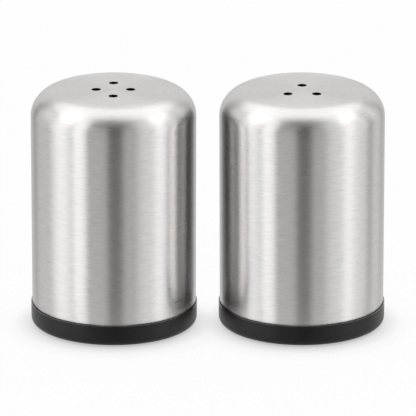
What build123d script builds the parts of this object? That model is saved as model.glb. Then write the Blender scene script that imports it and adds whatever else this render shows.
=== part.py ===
from build123d import *

import os
from math import acos, cos, degrees, radians, sin, sqrt, tan

# A matched pair of domed table shakers, in millimetres. Both stand on z = 0 with their axes
# upright, one on each side of the origin along X. Each is a drawn steel canister, glued over
# a threaded collar, that screws down onto a black base cap with a seal ring between them.

# ---- the pair
axis_spacing = 56.9  # between the two upright axes

# ---- steel canister
shell_radius = 25.0  # just under the shoulder, where the shell is widest
shell_wall = 0.6
shell_draft = 0.17  # degrees that the wall leans in, towards the open edge
shell_height = 66.9  # from the open edge to the top of the dome
shoulder_radius = 7.9
crown_radius = 450.0  # the dome is almost flat between its shoulders
pour_hole_radius = 1.2
pour_hole_rounding = 0.15
four_hole_reach = 5.2  # half the width of the ring that the four holes lie on
four_hole_depth = 6.6  # half its length from front to back
three_hole_reach = 5.0
three_hole_depth = 5.75
three_hole_shift = 1.6  # how far the ring of three holes stands forward of the middle

# ---- base cap
cap_lip = 0.35  # how far the cap stands out past the shell's open edge
cap_plate = 1.6
cap_skirt = 3.3
rib_height = 3.8
rib_width = 1.2
rib_bars = 3  # each bar crosses the cap and makes two ribs
boss_radius = 4.0
cap_top_rounding = 0.3
cap_foot_rounding = 1.9
cap_draft = 0.6  # degrees that the outside leans in, towards the table
spigot_wall = 1.6

# ---- screw thread between the collar and the spigot, right-handed
thread_lead = 8.0
thread_starts = 3
thread_turns = 0.5  # how far each ridge goes round
thread_depth = 0.9
thread_gap = 0.3  # radial, from a crest to the root that it faces
flank_gap = 0.23  # along the axis, on each side of a ridge
flank_slope = 26.5  # degrees that a flank leans from square
thread_margin = 0.55  # plain wall before the first ridge and after the last
ridge_embed = 0.2  # how deep a ridge is rooted in its wall

# ---- threaded collar and seal ring
collar_glue_gap = 0.05
collar_setback = 0.3  # the collar ends this far above the open edge
seal_width = 1.2
seal_height = 1.3
seal_gap = 0.15  # radial, on each side in its groove
seal_rounding = 0.3
groove_wall = 0.75  # collar left standing on each side of the groove

# ---- foot pad
pad_thickness = 1.6
pad_proud = 0.4  # how far it stands below the cap's rim
pad_shelf = 0.7  # width of the step that it sits against
pad_gap = 0.15
pad_rounding = 0.25
grip_grooves = 3
grip_width = 1.0
grip_depth = 0.5
grip_spacing = 5.5
grip_margin = 3.5  # from the pad's edge to the middle of the outermost groove

# ---- heights that follow, from the table up
rim_z = pad_proud
rib_z = pad_thickness
plate_z = rib_z + rib_height
ledge_z = plate_z + cap_plate
shell_top_z = ledge_z + shell_height

# ---- the dome: its crown runs into its shoulder, and that into the wall, smoothly
shoulder_in = shell_radius - shoulder_radius
crown_centre_z = shell_top_z - crown_radius
crown_reach = crown_radius - shoulder_radius
shoulder_z = crown_centre_z + sqrt(crown_reach**2 - shoulder_in**2)
crown_lean = degrees(acos(shoulder_in / crown_reach))
wall_drop = shoulder_z - shoulder_radius * sin(radians(shell_draft)) - ledge_z

# ---- thread sizes that follow
thread_pitch = thread_lead / thread_starts
thread_rise = thread_lead * thread_turns
flank_run = tan(radians(flank_slope))
ridge_root = thread_pitch / 2 - flank_gap + flank_run * (thread_depth + thread_gap)
ridge_crest = ridge_root - 2 * flank_run * thread_depth
first_ridge_z = ledge_z + thread_margin + ridge_root / 2
spigot_top_z = first_ridge_z + thread_rise + ridge_root / 2 + thread_margin
collar_top_z = spigot_top_z + thread_pitch / 2
lead_in = 0.7 * thread_margin  # the chamfers stop short of the ridges

# ---- radii that follow, from the shell inwards
edge_radius = shell_radius - wall_drop * tan(radians(shell_draft))  # at the open edge
shell_inside = edge_radius - shell_wall
edge_rounding = 0.4 * shell_wall  # of the open edge, inside and outside
collar_radius = shell_inside - collar_glue_gap
groove_outer = collar_radius - groove_wall
groove_inner = groove_outer - seal_width - 2 * seal_gap
collar_bore = groove_inner - groove_wall
spigot_radius = collar_bore - thread_depth - thread_gap
spigot_inside = spigot_radius - spigot_wall
cap_radius = edge_radius + cap_lip
cap_cavity = cap_radius - cap_skirt
foot_radius = cap_radius - (ledge_z - rim_z) * tan(radians(cap_draft))
pad_recess = cap_cavity + pad_shelf
pad_radius = pad_recess - pad_gap


def level(x, z):
    """The horizontal plane at height z, centred on the shaker that stands at x."""
    return Plane((x, 0, z))


def section(x):
    """The upright plane through a shaker's axis: its x is a radius and its y a height. It is
    turned 45 degrees, so that the seam of what is revolved runs between the pour holes."""
    return Plane((x, 0, 0), x_dir=(1, 1, 0), z_dir=(1, -1, 0))


def upright(x):
    return Axis((x, 0, 0), (0, 0, 1))


def finish(piece, name):
    piece.part.label = name
    export_step(piece.part, f"parts/{name}.step")


def thread_ridge(root_radius, crest_radius, middle_z):
    """One helical ridge about the Z axis, starting at middle_z, that leaves its wall at
    root_radius and ends at crest_radius, inside or outside it."""
    outward = 1 if crest_radius > root_radius else -1
    root_half = ridge_root / 2 + flank_run * ridge_embed
    crest_half = ridge_crest / 2
    with BuildPart() as ridge:
        with BuildLine():
            path = Helix(thread_lead, thread_rise, root_radius, center=(0, 0, middle_z))
        with BuildSketch(Plane(path @ 0, x_dir=(1, 0, 0), z_dir=path % 0)):
            with BuildLine():
                Polyline(
                    (-outward * ridge_embed, -root_half),
                    (outward * thread_depth, -crest_half),
                    (outward * thread_depth, crest_half),
                    (-outward * ridge_embed, root_half),
                    close=True,
                )
            make_face()
        sweep(path=path, is_frenet=True)
    return ridge.part


def dome_outline(inset):
    """Lines from the open edge up the wall and over the dome to the axis, moved inwards
    by inset."""
    bend = shoulder_radius - inset
    shoulder = CenterArc((shoulder_in, shoulder_z), bend, -shell_draft, crown_lean + shell_draft)
    drop = (shoulder @ 0).Y - ledge_z
    foot = (shoulder @ 0).X - drop * tan(radians(shell_draft))
    wall = Line((foot, ledge_z), shoulder @ 0)
    crown = CenterArc((0, crown_centre_z), crown_radius - inset, crown_lean, 90 - crown_lean)
    return [wall, shoulder, crown]


def hole_places(hole_count, reach, depth, shift):
    """Where the pour holes stand in the top, from its middle. The first is at the back, away
    from the side that faces the diner."""
    turns = [radians(90 + 360 * hole / hole_count) for hole in range(hole_count)]
    return [(reach * cos(turn), depth * sin(turn) - shift) for turn in turns]


def make_shell(name, x, holes):
    with BuildPart(level(x, 0)) as shell:
        with BuildSketch(section(x)):
            with BuildLine():
                outside = dome_outline(0)
                inside = dome_outline(shell_wall)
                Line(outside[0] @ 0, inside[0] @ 0)
                Line(outside[-1] @ 1, inside[-1] @ 1)
            make_face()
        revolve(axis=upright(x))
        fillet(shell.edges().group_by(Axis.Z)[0], edge_rounding)
        with BuildSketch(level(x, shell_top_z)):
            with Locations(*holes):
                Circle(pour_hole_radius)
        extrude(amount=-shoulder_radius, mode=Mode.SUBTRACT)
        rims = shell.edges(Select.LAST).filter_by(GeomType.LINE, reverse=True)
        fillet(rims, pour_hole_rounding)
    finish(shell, name)


def make_collar(name, x):
    collar_z = ledge_z + collar_setback
    with BuildPart(level(x, 0)) as collar:
        with BuildSketch(section(x)):
            with BuildLine():
                Polyline(
                    (collar_bore, collar_z),
                    (groove_inner, collar_z),
                    (groove_inner, ledge_z + seal_height),
                    (groove_outer, ledge_z + seal_height),
                    (groove_outer, collar_z),
                    (collar_radius, collar_z),
                    (collar_radius, collar_top_z),
                    (collar_bore, collar_top_z),
                    close=True,
                )
            make_face()
            bore_corners = vertices().group_by(Axis.X)[0]
            chamfer(bore_corners, lead_in)
        revolve(axis=upright(x))
        ridge = thread_ridge(
            collar_bore, collar_bore - thread_depth, first_ridge_z + thread_pitch / 2
        )
        with PolarLocations(0, thread_starts):
            add(ridge)
    finish(collar, name)


def make_seal(name, x):
    with BuildPart() as seal:
        with BuildSketch(section(x)):
            with Locations((groove_inner + seal_gap + seal_width / 2, ledge_z + seal_height / 2)):
                RectangleRounded(seal_width, seal_height, seal_rounding)
        revolve(axis=upright(x))
    finish(seal, name)


def make_base_cap(name, x):
    with BuildPart(level(x, 0)) as cap:
        with BuildSketch(section(x)):
            with BuildLine():
                Polyline(
                    (0, plate_z),
                    (cap_cavity, plate_z),
                    (cap_cavity, rib_z),
                    (pad_recess, rib_z),
                    (pad_recess, rim_z),
                    (foot_radius, rim_z),
                    (cap_radius, ledge_z),
                    (spigot_radius, ledge_z),
                    (spigot_radius, spigot_top_z),
                    (spigot_inside, spigot_top_z),
                    (spigot_inside, ledge_z),
                    (0, ledge_z),
                    close=True,
                )
            make_face()
            foot_corner, top_corner = vertices().sort_by(Axis.X)[-2:]
            fillet(foot_corner, min(cap_foot_rounding, 0.75 * (foot_radius - pad_recess)))
            fillet(top_corner, cap_top_rounding)
            chamfer(vertices().group_by(Axis.Y)[-1], lead_in)
        revolve(axis=upright(x))
        with BuildSketch(level(x, rib_z)):
            Circle(boss_radius)
            with PolarLocations(0, rib_bars, angular_range=180):
                Rectangle(2 * cap_cavity + cap_skirt - pad_shelf, rib_width)
        extrude(amount=rib_height)
        ridge = thread_ridge(spigot_radius, spigot_radius + thread_depth, first_ridge_z)
        with PolarLocations(0, thread_starts):
            add(ridge)
    finish(cap, name)


def make_foot_pad(name, x):
    with BuildPart() as pad:
        with BuildSketch(level(x, 0)):
            Circle(pad_radius)
        extrude(amount=pad_thickness)
        fillet(pad.edges().group_by(Axis.Z)[0], pad_rounding)
        with BuildSketch(level(x, 0)):
            for groove in range(grip_grooves):
                middle = pad_radius - grip_margin - groove * grip_spacing
                Circle(middle + grip_width / 2)
                Circle(middle - grip_width / 2, mode=Mode.SUBTRACT)
        extrude(amount=grip_depth, mode=Mode.SUBTRACT)
    finish(pad, name)


def make_shaker(side, x, holes):
    make_shell(f"{side}_shell", x, holes)
    make_collar(f"{side}_threaded_collar", x)
    make_seal(f"{side}_seal_ring", x)
    make_base_cap(f"{side}_base_cap", x)
    make_foot_pad(f"{side}_foot_pad", x)


four_holes = hole_places(4, four_hole_reach, four_hole_depth, 0)
three_holes = hole_places(3, three_hole_reach, three_hole_depth, three_hole_shift)

os.makedirs("parts", exist_ok=True)
make_shaker("left", -axis_spacing / 2, four_holes)
make_shaker("right", axis_spacing / 2, three_holes)
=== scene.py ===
import math
from typing import NamedTuple

import bpy
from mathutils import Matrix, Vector


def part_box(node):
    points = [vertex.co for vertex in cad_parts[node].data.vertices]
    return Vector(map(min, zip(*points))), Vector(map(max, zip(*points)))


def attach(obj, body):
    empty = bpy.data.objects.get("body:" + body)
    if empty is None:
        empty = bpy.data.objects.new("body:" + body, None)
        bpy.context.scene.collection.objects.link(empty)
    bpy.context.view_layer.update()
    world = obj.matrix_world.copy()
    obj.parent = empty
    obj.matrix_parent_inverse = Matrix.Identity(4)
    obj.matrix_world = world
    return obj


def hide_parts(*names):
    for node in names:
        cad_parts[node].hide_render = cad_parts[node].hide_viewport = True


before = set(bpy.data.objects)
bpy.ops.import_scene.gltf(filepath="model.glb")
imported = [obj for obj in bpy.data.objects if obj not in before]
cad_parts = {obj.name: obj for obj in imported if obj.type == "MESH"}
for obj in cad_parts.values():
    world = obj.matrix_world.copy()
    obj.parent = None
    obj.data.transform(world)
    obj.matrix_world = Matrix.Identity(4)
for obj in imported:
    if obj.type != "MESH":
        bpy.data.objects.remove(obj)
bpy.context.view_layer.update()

# ---- sizes and places in metres: axes, radius and heights come from the CAD frame
SIDES = ("left", "right")
AXIS_X = {side: sum(corner.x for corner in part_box(f"{side}_shell")) / 2 for side in SIDES}
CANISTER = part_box("left_shell")
RADIUS = (CANISTER[1].x - CANISTER[0].x) / 2
EDGE_Z, TOP_Z = CANISTER[0].z, CANISTER[1].z
WALL = 0.0006
DRAFT = 0.17  # degrees that the wall leans in, towards its lower edge
EDGE_ROUNDING = 0.0001
SHOULDER_RADIUS = 0.0079
CROWN_RADIUS = 0.450
TOP_DISC = 0.0085  # radius of the pierced middle of the top
HOLE_RADIUS = 0.0012
HOLE_ROUNDING = 0.00012
HOLES = {  # the ring that they lie on: half its width and length, and how far forward it is
    "left": {"Holes": 4, "Hole reach": 0.0052, "Hole depth": 0.0066, "Hole shift": 0.0},
    "right": {"Holes": 3, "Hole reach": 0.0050, "Hole depth": 0.00575, "Hole shift": 0.0016},
}

# ---- faces of a steel canister: how many go round, and the rows of each surface
AROUND, HOLE_AROUND = 192, 48
WALL_ROWS, SHOULDER_ROWS, CROWN_ROWS, EDGE_ROWS = 8, 18, 4, 8
LIP_ROWS, ROLL_ROWS, THROAT_ROWS = 1, 4, 2  # of the rim of a hole
WELD = 0.000002  # points closer than this become one

# ---- camera: far off with a long lens, looking slightly down
CAMERA_DISTANCE = 2.7
CAMERA_ELEVATION = 18.14  # degrees
CAMERA_LENS = 771.8  # millimetres on the default 36 mm sensor
CAMERA_REACH = 20.0  # how far it sees
AIM = (0.00006, 0.0, 0.03624)


class Softbox(NamedTuple):
    """An upright softbox, from the floor to its top. All but its level are in degrees."""

    middle: float
    width: float
    edge: float  # the width over which each side fades
    top: float
    top_edge: float  # the height over which its top fades
    level: float


# ---- studio: levels are radiance, where 1 is plain white, and directions are in degrees,
# with azimuth 0 towards the camera and positive to its right
PLAIN_LEVEL = 0.9  # even light on everything that doesn't shine
ROOM_LEVEL = 0.11  # the dark room that steel mirrors between the softboxes
SOFTBOXES = (  # from the left round the front to the right, then two behind
    Softbox(-78.8, 39.0, 35.6, 57.0, 4.0, 1.38),
    Softbox(-47.1, 19.0, 7.4, 53.0, 9.0, 1.33),
    Softbox(-20.3, 24.9, 7.0, 36.0, 14.0, 0.48),
    Softbox(19.0, 11.5, 8.2, 34.0, 14.0, 0.43),
    Softbox(52.0, 44.0, 29.6, 50.0, 8.0, 0.83),
    Softbox(83.8, 42.0, 16.0, 49.0, 5.0, 0.90),
    Softbox(-121.0, 30.0, 16.0, 35.0, 8.0, 0.62),
    Softbox(126.0, 26.5, 16.0, 35.0, 8.0, 0.74),
)
SIDE_LIGHT = Softbox(112.0, 30.0, 20.0, 34.0, 10.0, 0.4)  # one at each side, off the floor
SIDE_BOTTOM, SIDE_BOTTOM_EDGE = 9.0, 10.0
BACKDROP_WIDTH, BACKDROP_EDGE, BACKDROP_LEVEL = 73.0, 24.0, 0.75
BACKDROP_FOOT, BACKDROP_DIM = (-8.0, 14.0), 0.25  # it is dimmer towards the floor
OVERHEAD_BOTTOM, OVERHEAD_EDGE, OVERHEAD_LEVEL = 35.7, 11.0, 1.50
OVERHEAD_FRONT, OVERHEAD_FRONT_EDGE = -16.5, 15.0  # from straight up, positive to the back
# Its rear corners are cut off past these parts of a unit direction, to a side and away.
OVERHEAD_SIDE, OVERHEAD_BACK = (0.55, 0.8), (0.12, 0.4)
# The faint light in front of it, by elevation and by the part of a unit direction to a side.
STEEP_ELEVATION, STEEP_SIDE, STEEP_LEVEL = (45.0, 60.0), (0.05, 0.5), 0.36
HORIZON = 0.001  # the least part upwards, so that a lean can be worked out below the horizon
# What one shaker mirrors in the other is a light in front of the pair, and little beside it:
# half its width, the soft part of that, and its level. The third is for a third mirroring.
FILL_WIDTH, FILL_EDGE, FILL_LEVEL, DEEP_LEVEL = 40.0, 24.0, 2.3, 0.22
THIRD_WIDTH, THIRD_EDGE, THIRD_LEVEL = 90.0, 30.0, 1.4
TWICE, THRICE = 1.5, 2.5  # a ray that was mirrored more often than this

# ---- paper floor
FLOOR_HALF = 1.5
PAPER_LEVEL = 0.99
PAPER_ALBEDO = 0.85
FLOOR_LIT = 0.05  # the share of the paper's white that real light gives it
CONTACT_SHADOWS = ((0.006, 0.0, 0.33), (0.012, 40.0, 0.155))  # reach, degrees forward, depth
SHADOW_SAMPLES = 16
# Steel mirrors a share of the paper, and the studio through the rest. Each part of that share
# fades out between two distances from a canister's axis, and a little of it is left far off.
PAPER_NEAR = ((0.026, 0.22, 0.20), (0.026, 0.036, 0.55))
PAPER_FAR = 0.04

# ---- brushed steel
STEEL = (0.643, 0.627, 0.618)
STEEL_ROUGHNESS, TOP_ROUGHNESS = 0.316, 0.26  # of the wall, and of the top face
TOP_FACE = (0.012, 0.020)  # its finish runs out into the wall's between these radii
TOP_CONTRAST = 0.35  # of the streaks on the top face, against those of the wall
SHORT_STREAK, LONG_STREAK = (0.0003, 0.0035), (0.0007, 0.03)  # width and length
STREAK_TINT, STREAK_ROUGH = 0.17, 0.14  # how much colour and roughness vary with them
STREAK_DEPTH, STREAK_RELIEF = 0.000001, 0.03  # their depth, and the share of it that shows
BRUSHING = {"Anisotropic": 0.833, "Anisotropic Rotation": 0.25}

# ---- metal inside the pour holes, coloured near black as painted shade; each from its least to its most
HOLE_SHADE_COLOUR = (0.004, 0.004, 0.004), (0.02, 0.019, 0.018)
PUNCHED_ROUGHNESS = (0.5, 0.8)
PUNCHED_GRAIN = (0.0002, 0.0002, 0.0006)  # its size along each axis

# ---- moulded pieces: mottle is the share that the colour varies by, grain and depth are the
# grains' size and depth, and above the height of its lip a piece's outer edge shines
MOULDED = {
    "base_cap": {
        "name": "base_plastic",
        "colour": (0.0042, 0.0042, 0.0048),
        "mottle": 0.95,
        "roughness": 0.36,
        "grain": 0.0004,
        "depth": 0.000004,
        "specular": 0.3,
        "lip": 0.0068,
    },
    "threaded_collar": {
        "name": "collar_plastic",
        "colour": (0.013, 0.013, 0.0135),
        "mottle": 0.2,
        "roughness": 0.4,
        "grain": 0.0003,
        "depth": 0.000001,
    },
    "seal_ring": {
        "name": "seal_silicone",
        "colour": (0.62, 0.62, 0.59),
        "mottle": 0.1,
        "roughness": 0.45,
        "grain": 0.0004,
        "depth": 0.000001,
    },
    "foot_pad": {
        "name": "pad_rubber",
        "colour": (0.018, 0.018, 0.019),
        "mottle": 0.25,
        "roughness": 0.75,
        "grain": 0.0003,
        "depth": 0.000004,
        "specular": 0.3,
    },
}
GRAIN_ROUGH = 0.25  # how much the roughness varies from grain to grain
CLOUD, CLOUD_ROUGH = 0.006, 0.1  # size of the cloudy patches, and how much it varies there
LIP_FADE = 0.0002
LIP_RADII = (RADIUS - 0.001, RADIUS - 0.0006)  # it begins between these
LIP_COAT = {"Coat Roughness": 0.12, "Coat IOR": 1.5}

# A Mix node's sockets for colours share their names with others, so they go by number.
MIX_FACTOR, MIX_LOW, MIX_HIGH, MIX_COLOUR = 0, 6, 7, 2


class Signal:
    """One output of a node. Arithmetic on it adds the Math nodes that work it out."""

    def __init__(self, tree, socket):
        self.tree = tree
        self.socket = socket

    def math(self, operation, *operands):
        """A Math node of the given operation on this signal and the operands."""
        sockets = dict(enumerate((self, *operands)))
        return self.tree.node("ShaderNodeMath", sockets, operation=operation)[0]

    def __add__(self, other):
        return self.math("ADD", other)

    def __sub__(self, other):
        return self.math("SUBTRACT", other)

    def __mul__(self, other):
        return self.math("MULTIPLY", other)

    def __truediv__(self, other):
        return self.math("DIVIDE", other)

    def __pow__(self, other):
        return self.math("POWER", other)

    def __neg__(self):
        return self.math("MULTIPLY", -1.0)

    def __abs__(self):
        return self.math("ABSOLUTE")

    def __rsub__(self, other):
        return -self + other

    __radd__ = __add__
    __rmul__ = __mul__

    def sin(self):
        return self.math("SINE")

    def cos(self):
        return self.math("COSINE")

    def root(self):
        return self.math("SQRT")

    def between(self, low, high):
        """Runs from low to high while this signal runs from 0 to 1."""
        return self * (high - low) + low


class Outputs:
    """The outputs of a node, picked by name or by number."""

    def __init__(self, tree, node):
        self.tree = tree
        self.node = node

    def __getitem__(self, key):
        return Signal(self.tree, self.node.outputs[key])


class Tree:
    """Builds one node tree, of a material, the world or a Geometry Nodes group."""

    def __init__(self, node_tree):
        self.node_tree = node_tree
        self.node_tree.nodes.clear()

    def node(self, kind, sockets=None, **settings):
        """Adds a node, sets it up, then fills or links its sockets, and returns its outputs.
        A list links every signal in it to one socket."""
        made = self.node_tree.nodes.new(kind)
        for name, value in settings.items():
            setattr(made, name, value)
        for name, value in (sockets or {}).items():
            socket = made.inputs[name]
            if isinstance(value, list):
                for signal in value:
                    self.node_tree.links.new(signal.socket, socket)
            elif isinstance(value, Signal):
                self.node_tree.links.new(value.socket, socket)
            else:
                socket.default_value = value
        return Outputs(self, made)

    def step(self, value, low, high):
        """0 below low, 1 above high and a smooth rise between them."""
        sockets = {"Value": value, "From Min": low, "From Max": high}
        return self.node("ShaderNodeMapRange", sockets, interpolation_type="SMOOTHSTEP")[0]

    def edge(self, value, middle, width):
        """The same step, given by its middle and its width."""
        return self.step(value, middle - width / 2, middle + width / 2)

    def split(self, vector):
        """The X, Y and Z of a vector."""
        parts = self.node("ShaderNodeSeparateXYZ", {0: vector})
        return parts["X"], parts["Y"], parts["Z"]

    def vector(self, x, y, z):
        return self.node("ShaderNodeCombineXYZ", {"X": x, "Y": y, "Z": z})[0]


def shader_of(owner):
    """The empty node tree of a material or the world."""
    owner.use_nodes = True
    return Tree(owner.node_tree)


def new_material(name):
    """A material, and its empty node tree."""
    material = bpy.data.materials.new(name)
    return material, shader_of(material)


def add_to_scene(name, data):
    made = bpy.data.objects.new(name, data)
    bpy.context.scene.collection.objects.link(made)
    return made


class Place(NamedTuple):
    """A point on a piece, and its distance from the nearer canister's axis."""

    x: Signal
    y: Signal
    z: Signal
    radius: Signal


def place_of(shader):
    """The place of the point that is being shaded."""
    x, y, z = shader.split(shader.node("ShaderNodeTexCoord")["Object"])
    across = abs(x) - AXIS_X["right"]
    return Place(x, y, z, (across * across + y * y).root())


def noise(shader, coordinates, sizes, detail=1.0):
    """Noise, about 0.5 on average, with the size of its grains along each coordinate."""
    scaled = [along / size for along, size in zip(coordinates, sizes)]
    sockets = {"Vector": shader.vector(*scaled), "Scale": 1.0, "Detail": detail}
    return shader.node("ShaderNodeTexNoise", sockets)[0]


def blend(shader, factor, low, high):
    """A colour that runs from low to high with the factor."""
    sockets = {MIX_FACTOR: factor, MIX_LOW: (*low, 1), MIX_HIGH: (*high, 1)}
    return shader.node("ShaderNodeMix", sockets, data_type="RGBA")[MIX_COLOUR]


# ---------------------------------------------------------------- studio


class Direction(NamedTuple):
    """A direction into the studio: in degrees, and as parts of a unit vector."""

    azimuth: Signal
    elevation: Signal
    aside: Signal
    away: Signal
    up: Signal


def direction_of(shader):
    right, away, up = shader.split(shader.node("ShaderNodeTexCoord")["Generated"])
    azimuth = right.math("ARCTAN2", -away) * (180 / math.pi)
    elevation = up.math("ARCSINE") * (180 / math.pi)
    return Direction(azimuth, elevation, abs(right), away, up)


def softbox(shader, azimuth, elevation, box):
    """The light of a softbox, which fades out over its soft sides and top."""
    rise = shader.edge(azimuth, box.middle - box.width / 2, box.edge)
    fall = shader.edge(azimuth, box.middle + box.width / 2, box.edge)
    over = shader.edge(elevation, box.top, box.top_edge)
    return rise * (1 - fall) * (1 - over) * box.level


def upright_lights(shader, towards):
    """The dark room, the softboxes round the object and the high lights at its sides."""
    mirrored = ROOM_LEVEL
    for box in SOFTBOXES:
        mirrored = softbox(shader, towards.azimuth, towards.elevation, box) + mirrored
    side = softbox(shader, abs(towards.azimuth), towards.elevation, SIDE_LIGHT)
    return side * shader.edge(towards.elevation, SIDE_BOTTOM, SIDE_BOTTOM_EDGE) + mirrored


def backdrop(shader, towards, high):
    """A white backdrop behind the object, up to where the big overhead softbox begins."""
    behind = shader.edge(abs(towards.azimuth), 180 - BACKDROP_WIDTH / 2, BACKDROP_EDGE)
    foot = 1 - shader.step(towards.elevation, *BACKDROP_FOOT)
    return behind * (1 - high) * (1 - foot * BACKDROP_DIM) * BACKDROP_LEVEL


def overhead_lights(shader, towards, high):
    """The overhead softbox, and a fainter light in front of it."""
    # The softbox hangs behind the zenith, so its angle is measured from straight up.
    lean = towards.away.math("ARCTAN2", towards.up.math("MAXIMUM", HORIZON)) * (180 / math.pi)
    overhead = shader.edge(lean, OVERHEAD_FRONT, OVERHEAD_FRONT_EDGE)
    corner = shader.step(towards.aside, *OVERHEAD_SIDE) * shader.step(towards.away, *OVERHEAD_BACK)
    steep = shader.step(towards.elevation, *STEEP_ELEVATION) * (1 - overhead)
    faint = shader.step(towards.aside, *STEEP_SIDE) * steep * STEEP_LEVEL
    return overhead * high * (1 - corner) * OVERHEAD_LEVEL + faint


def fill_light(shader, towards, thrice):
    """What one shaker mirrors in the other: a light in front of the pair, and little else."""
    off_front = abs(towards.azimuth)
    narrow = 1 - shader.step(off_front, FILL_WIDTH - FILL_EDGE, FILL_WIDTH)
    wide = 1 - shader.step(off_front, THIRD_WIDTH - THIRD_EDGE, THIRD_WIDTH)
    return thrice.between(narrow.between(DEEP_LEVEL, FILL_LEVEL), wide * THIRD_LEVEL)


def make_world():
    """White to the camera, even light on what doesn't shine, and a studio for the steel."""
    world = bpy.data.worlds.new("studio")
    bpy.context.scene.world = world
    shader = shader_of(world)
    towards = direction_of(shader)
    paths = shader.node("ShaderNodeLightPath")

    high = shader.edge(towards.elevation, OVERHEAD_BOTTOM, OVERHEAD_EDGE)
    mirrored = upright_lights(shader, towards) + backdrop(shader, towards, high)
    mirrored = mirrored + overhead_lights(shader, towards, high)
    twice, thrice = [paths["Glossy Depth"].math("GREATER_THAN", past) for past in (TWICE, THRICE)]
    mirrored = twice.between(mirrored, fill_light(shader, towards, thrice))

    seen = paths["Is Camera Ray"] + paths["Is Transmission Ray"]
    light = paths["Is Glossy Ray"].between(PLAIN_LEVEL, mirrored)
    sockets = {"Color": (1, 1, 1, 1), "Strength": seen.between(light, 1.0)}
    background = shader.node("ShaderNodeBackground", sockets)[0]
    shader.node("ShaderNodeOutputWorld", {"Surface": background})


def shaded_paper(shader):
    """White paper with a tight shadow under each base, and a wide faint one."""
    shade = PAPER_LEVEL
    for distance, lean, depth in CONTACT_SHADOWS:
        lean = math.radians(lean)
        facing = shader.vector(0.0, math.sin(lean), math.cos(lean))
        sockets = {"Distance": distance, "Normal": facing}
        near = shader.node("ShaderNodeAmbientOcclusion", sockets, samples=SHADOW_SAMPLES)["AO"]
        shade = (near - 1) * depth + shade
    glow = blend(shader, shade - FLOOR_LIT, (0, 0, 0), (1, 1, 1))
    white = shader.node("ShaderNodeEmission", {"Color": glow})[0]
    soft = FLOOR_LIT / PLAIN_LEVEL
    lit = shader.node("ShaderNodeBsdfDiffuse", {"Color": (soft, soft, soft, 1)})[0]
    return shader.node("ShaderNodeAddShader", {0: white, 1: lit})[0]


def make_floor_paper():
    """Shaded paper to the camera and in the steel, and plain paper to all other light. Steel
    mirrors the studio through it, and more of the studio further off."""
    material, shader = new_material("floor_paper")
    paths = shader.node("ShaderNodeLightPath")
    in_metal = paths["Is Glossy Ray"]
    seen = paths["Is Camera Ray"] + paths["Is Transmission Ray"] + in_metal
    albedo = (PAPER_ALBEDO, PAPER_ALBEDO, PAPER_ALBEDO, 1)
    plain = shader.node("ShaderNodeBsdfDiffuse", {"Color": albedo})[0]
    sockets = {0: seen, 1: plain, 2: shaded_paper(shader)}
    paper = shader.node("ShaderNodeMixShader", sockets)[0]

    distance = place_of(shader).radius
    shown = PAPER_FAR
    for start, end, share in PAPER_NEAR:
        shown = (1 - shader.step(distance, start, end)) * share + shown
    clear = shader.node("ShaderNodeBsdfTransparent")[0]
    sockets = {0: in_metal * (1 - shown), 1: paper, 2: clear}
    surface = shader.node("ShaderNodeMixShader", sockets)[0]
    shader.node("ShaderNodeOutputMaterial", {"Surface": surface})
    return material


def make_floor():
    mesh = bpy.data.meshes.new("floor")
    corners = [(x * FLOOR_HALF, y * FLOOR_HALF, 0) for x, y in ((-1, -1), (1, -1), (1, 1), (-1, 1))]
    mesh.from_pydata(corners, [], [(0, 1, 2, 3)])
    mesh.materials.append(make_floor_paper())
    floor = add_to_scene("floor", mesh)
    floor.visible_shadow = False


def make_camera():
    data = bpy.data.cameras.new("camera")
    data.lens = CAMERA_LENS
    data.clip_end = CAMERA_REACH
    camera = add_to_scene("camera", data)
    tilt = math.radians(CAMERA_ELEVATION)
    back = Vector((0, -math.cos(tilt), math.sin(tilt)))
    camera.location = Vector(AIM) + back * CAMERA_DISTANCE
    camera.rotation_euler = (math.pi / 2 - tilt, 0, 0)
    bpy.context.scene.camera = camera


# ---------------------------------------------------------------- materials


def shades(colour, share):
    """The colour made darker, and made lighter, by a share of itself."""
    return [tuple(part * (1 + side * share) for part in colour) for side in (-1, 1)]


def bump(shader, height, depth, strength=1.0):
    sockets = {"Strength": strength, "Distance": depth, "Height": height}
    return shader.node("ShaderNodeBump", sockets)[0]


def end_in_principled(shader, sockets):
    surface = shader.node("ShaderNodeBsdfPrincipled", sockets)[0]
    shader.node("ShaderNodeOutputMaterial", {"Surface": surface})


def make_brushed_steel():
    """Steel brushed round its axis: each streak is long and thin, over wall and top alike."""
    material, shader = new_material("brushed_steel")
    at = place_of(shader)
    on_top = 1 - shader.step(at.radius, *TOP_FACE)
    contrast = on_top.between(1.0, TOP_CONTRAST)

    def streaks(width, length):
        coordinates = (at.radius - at.z, at.x, at.y)
        grain = noise(shader, coordinates, (width, length, length), detail=2.0)
        return (grain - 0.5) * contrast + 0.5

    short, long = streaks(*SHORT_STREAK), streaks(*LONG_STREAK)
    plain = on_top.between(STEEL_ROUGHNESS, TOP_ROUGHNESS)
    sockets = {
        "Base Color": blend(shader, short, *shades(STEEL, STREAK_TINT)),
        "Metallic": 1.0,
        "Roughness": (short - 0.5) * STREAK_ROUGH + (long - 0.5) * STREAK_ROUGH + plain,
        "Normal": bump(shader, short, STREAK_DEPTH, STREAK_RELIEF),
    }
    end_in_principled(shader, {**sockets, **BRUSHING})
    return material


def make_hole_shade_edge():
    """Dull metal inside the pour holes, left by the punch; its near-black colour is painted shade.
    """
    material, shader = new_material("hole_shade_edge")
    at = place_of(shader)
    torn = noise(shader, (at.x, at.y, at.z), PUNCHED_GRAIN)
    sockets = {
        "Base Color": blend(shader, torn, *HOLE_SHADE_COLOUR),
        "Metallic": 1.0,
        "Roughness": torn.between(*PUNCHED_ROUGHNESS),
    }
    end_in_principled(shader, sockets)
    return material


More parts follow.
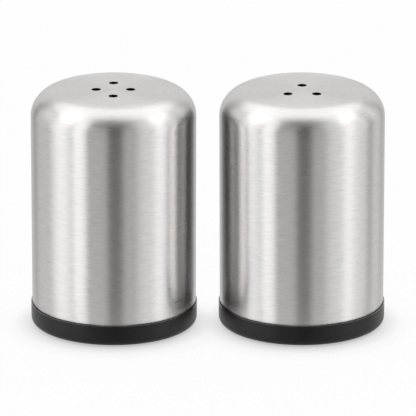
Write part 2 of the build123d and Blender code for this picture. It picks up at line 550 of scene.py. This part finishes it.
def make_moulded(name, colour, mottle, roughness, grain, depth, specular=0.5, lip=None):
    """A moulded plastic, silicone or rubber with a fine grain, and a shining lip if it has one."""
    material, shader = new_material(name)
    at = place_of(shader)
    grains = noise(shader, (at.x, at.y, at.z), (grain, grain, grain), detail=2.0)
    cloudy = noise(shader, (at.x, at.y, at.z), (CLOUD, CLOUD, CLOUD))
    sockets = {
        "Base Color": blend(shader, grains, *shades(colour, mottle)),
        "Roughness": (cloudy - 0.5) * CLOUD_ROUGH + (grains - 0.5) * GRAIN_ROUGH + roughness,
        "Specular IOR Level": specular,
        "Normal": bump(shader, grains, depth),
    }
    if lip:
        on_lip = shader.step(at.z, lip - LIP_FADE, lip) * shader.step(at.radius, *LIP_RADII)
        sockets = {**sockets, "Coat Weight": on_lip, **LIP_COAT}
    end_in_principled(shader, sockets)
    return material


def dress_moulded_pieces():
    """Gives the CAD's moulded pieces their finishes. Their shapes stay as they are."""
    for part, finish in MOULDED.items():
        material = make_moulded(**finish)
        for side in SIDES:
            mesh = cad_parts[f"{side}_{part}"].data
            mesh.materials.clear()
            mesh.materials.append(material)


# ---------------------------------------------------------------- steel canister


class CanisterTree(Tree):
    """The nodes of the steel canister about the Z axis: a wall, shoulder and crown, each
    turned from its own rule, outside and inside, a rolled lower edge, and a top pierced by a
    ring of holes. An inset is how far a surface lies within the outside."""

    def __init__(self, group):
        super().__init__(group)
        given = self.node("NodeGroupInput")
        self.given = given
        self.wall, self.draft = given["Wall"], given["Draft"]
        self.foot = given["Edge height"] + EDGE_ROUNDING
        self.shoulder, self.shoulder_z = given["Shoulder radius"], given["Shoulder height"]
        self.shoulder_in = given["Radius"] - self.shoulder
        self.hole, self.rounding = given["Hole radius"], given["Hole rounding"]

    # -- pieces of any shape

    def here(self):
        """The X, Y and Z of the point that is being placed."""
        return self.split(self.node("GeometryNodeInputPosition")["Position"])

    def put(self, shape, x, y, z):
        sockets = {"Geometry": shape, "Position": self.vector(x, y, z)}
        return self.node("GeometryNodeSetPosition", sockets)[0]

    def join(self, pieces):
        return self.node("GeometryNodeJoinGeometry", {"Geometry": pieces})[0]

    def flip(self, mesh):
        return self.node("GeometryNodeFlipFaces", {"Mesh": mesh})[0]

    def realize(self, shape):
        return self.node("GeometryNodeRealizeInstances", {"Geometry": shape})[0]

    def circle(self, segments, radius):
        sockets = {"Resolution": segments, "Radius": radius}
        return self.node("GeometryNodeCurvePrimitiveCircle", sockets)["Curve"]

    def band(self, segments, rows, radius, height, inside=False):
        """A surface turned about the Z axis. Its radius and height are functions of how far
        along its rows a point is, from 0 to 1. It faces outwards, or inwards if inside."""
        grid = self.node(
            "GeometryNodeMeshGrid",
            {"Size X": 1.0, "Size Y": 1.0, "Vertices X": segments + 1, "Vertices Y": rows + 1},
        )["Mesh"]
        x, y, _ = self.here()
        turn, along = (x + 0.5) * math.tau, y + 0.5
        out = radius(along)
        turned = self.put(grid, turn.cos() * out, turn.sin() * out, height(along))
        return self.flip(turned) if inside else turned

    # -- the canister's own pieces

    def wall_radius(self, height, inset):
        """The wall's radius at a height. It leans in towards its lower edge."""
        run = (height - self.shoulder_z) * self.draft.math("TANGENT")
        return self.shoulder_in + (self.shoulder - inset) / self.draft.cos() + run

    def crown_height(self, squared, inset):
        """The height of the crown at a squared distance from the axis."""
        reach = (self.given["Crown radius"] - inset) ** 2.0
        return (reach - squared).root() + self.given["Crown centre height"]

    def skin(self, inset, inside):
        """The wall, the shoulder and the crown up to its pierced middle."""
        lean, disc = self.given["Shoulder lean"], self.given["Disc radius"]
        bend = self.shoulder - inset
        wall_top = self.shoulder_z - bend * self.draft.sin()
        crown_start = self.shoulder_in + bend * lean.cos()

        def wall_up(along):
            return self.foot + (wall_top - self.foot) * along

        def wall_out(along):
            return self.wall_radius(wall_up(along), inset)

        def swept(along):
            return along * (lean + self.draft) - self.draft

        def shoulder_up(along):
            return self.shoulder_z + bend * swept(along).sin()

        def shoulder_out(along):
            return self.shoulder_in + bend * swept(along).cos()

        def crown_out(along):
            return crown_start + (disc - crown_start) * along

        def crown_up(along):
            return self.crown_height(crown_out(along) ** 2.0, inset)

        return [
            self.band(AROUND, WALL_ROWS, wall_out, wall_up, inside),
            self.band(AROUND, SHOULDER_ROWS, shoulder_out, shoulder_up, inside),
            self.band(AROUND, CROWN_ROWS, crown_out, crown_up, inside),
        ]

    def lower_edge(self):
        """The rolled edge is flat below, with a small rounding on each side."""
        half = self.wall / 2
        middle = self.wall_radius(self.foot, half)

        def out(along):
            sine = ((along - 0.5) * math.pi).sin()
            return middle + sine.math("SIGN") * (half - EDGE_ROUNDING) + sine * EDGE_ROUNDING

        def up(along):
            return self.foot - ((along - 0.5) * math.pi).cos() * EDGE_ROUNDING

        return self.band(AROUND, EDGE_ROWS, out, up)

    def at_holes(self, piece):
        """The piece once at the middle of every hole."""
        index = self.node("GeometryNodeInputIndex")["Index"]
        turn = index / self.given["Holes"] * math.tau + math.pi / 2
        x = turn.cos() * self.given["Hole reach"]
        y = turn.sin() * self.given["Hole depth"] - self.given["Hole shift"]
        sockets = {"Count": self.given["Holes"], "Position": self.vector(x, y, 0.0)}
        places = self.node("GeometryNodePoints", sockets)[0]
        sockets = {"Points": places, "Instance": piece}
        return self.realize(self.node("GeometryNodeInstanceOnPoints", sockets)[0])

    def on_crown(self, shape, inset):
        """A flat shape raised on to the crown."""
        x, y, z = self.here()
        return self.put(shape, x, y, z + self.crown_height(x * x + y * y, inset))

    def pierced_disc(self, opening, inset, inside=False):
        """The middle of the crown, with an opening of the given radius at each hole."""
        openings = self.at_holes(self.circle(HOLE_AROUND, opening))
        outline = self.join([self.circle(AROUND, self.given["Disc radius"]), openings])
        flat = self.node("GeometryNodeFillCurve", {"Curve": outline}, mode="TRIANGLES")[0]
        return self.on_crown(self.flip(flat) if inside else flat, inset)

    def hole_rims(self, hole_shade):
        """Each hole has a flat lip, a rounded roll and a throat through the wall."""
        hole, rounding = self.hole, self.rounding
        rim = hole + rounding

        def lip_out(along):
            return rim + rounding - rounding * along

        def roll_out(along):
            return rim - rounding * (along * math.pi / 2).sin()

        def roll_up(along):
            return rounding * (along * math.pi / 2).cos() - rounding

        def throat_up(along):
            return (rounding - self.wall) * along - rounding

        faces = self.join([
            self.band(HOLE_AROUND, LIP_ROWS, lip_out, lambda along: 0.0),
            self.band(HOLE_AROUND, ROLL_ROWS, roll_out, roll_up),
            self.band(HOLE_AROUND, THROAT_ROWS, lambda along: hole, throat_up),
        ])
        # The lip, roll and throat of each hole take the near-black metal, which is painted shade.
        sockets = {"Geometry": faces, "Material": hole_shade}
        return self.on_crown(self.at_holes(self.node("GeometryNodeSetMaterial", sockets)[0]), 0.0)

    def finish(self, pieces, steel, hole_shade):
        """Welds the pieces, moves them to the canister's axis and makes the rest of steel."""
        sockets = {"Geometry": self.join(pieces), "Distance": WELD}
        welded = self.node("GeometryNodeMergeByDistance", sockets)[0]
        sockets = {"Geometry": welded, "Offset": self.vector(self.given["Axis X"], 0.0, 0.0)}
        placed = self.node("GeometryNodeSetPosition", sockets)[0]
        smooth = self.node("GeometryNodeSetShadeSmooth", {"Geometry": placed})[0]
        in_holes = self.node("GeometryNodeMaterialSelection", {"Material": hole_shade})[0]
        others = self.node("FunctionNodeBooleanMath", {0: in_holes}, operation="NOT")[0]
        sockets = {"Geometry": self.realize(smooth), "Selection": others, "Material": steel}
        self.node("NodeGroupOutput", {0: self.node("GeometryNodeSetMaterial", sockets)[0]})


def canister_sizes(side):
    """The named sizes of one canister. Its shoulder runs smoothly into the wall and crown."""
    shoulder_in = RADIUS - SHOULDER_RADIUS
    reach = CROWN_RADIUS - SHOULDER_RADIUS
    crown_z = TOP_Z - CROWN_RADIUS
    return {
        "Radius": RADIUS,
        "Wall": WALL,
        "Edge height": EDGE_Z,
        "Shoulder height": crown_z + math.sqrt(reach**2 - shoulder_in**2),
        "Shoulder radius": SHOULDER_RADIUS,
        "Shoulder lean": math.acos(shoulder_in / reach),
        "Crown radius": CROWN_RADIUS,
        "Crown centre height": crown_z,
        "Disc radius": TOP_DISC,
        "Hole radius": HOLE_RADIUS,
        "Hole rounding": HOLE_ROUNDING,
        "Draft": math.radians(DRAFT),
        **HOLES[side],
        "Axis X": AXIS_X[side],
    }


def make_canister_group(steel, hole_shade):
    """The Geometry Nodes group of the canister, with a named input for each of its sizes."""
    group = bpy.data.node_groups.new("canister", "GeometryNodeTree")
    group.interface.new_socket("Canister", in_out="OUTPUT", socket_type="NodeSocketGeometry")
    for name, value in canister_sizes("left").items():
        kind = "NodeSocketInt" if isinstance(value, int) else "NodeSocketFloat"
        group.interface.new_socket(name, in_out="INPUT", socket_type=kind).default_value = value
    tree = CanisterTree(group)
    pieces = [
        *tree.skin(0.0, inside=False),
        *tree.skin(tree.wall, inside=True),
        tree.lower_edge(),
        tree.pierced_disc(tree.hole + tree.rounding * 2, 0.0),
        tree.pierced_disc(tree.hole, tree.wall, inside=True),
        tree.hole_rims(hole_shade),
    ]
    tree.finish(pieces, steel, hole_shade)
    return group


def run_group(group, name, values):
    """A plain mesh object made by a Geometry Nodes group with the given named inputs."""
    made = add_to_scene(name, bpy.data.meshes.new(name))
    modifier = made.modifiers.new("nodes", "NODES")
    modifier.node_group = group
    for socket in group.interface.items_tree:
        if socket.in_out == "INPUT":
            modifier[socket.identifier] = values[socket.name]
    graph = bpy.context.evaluated_depsgraph_get()
    mesh = bpy.data.meshes.new_from_object(made.evaluated_get(graph), depsgraph=graph)
    made.modifiers.remove(modifier)
    made.data = mesh
    return made


def make_canisters():
    steel, hole_shade = make_brushed_steel(), make_hole_shade_edge()
    group = make_canister_group(steel, hole_shade)
    for side in SIDES:
        canister = run_group(group, f"{side}_canister_steel", canister_sizes(side))
        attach(canister, f"{side}_canister")
        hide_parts(f"{side}_shell")


make_camera()
make_world()
make_floor()
make_canisters()
dress_moulded_pieces()

bpy.context.scene.view_settings.view_transform = "Standard"
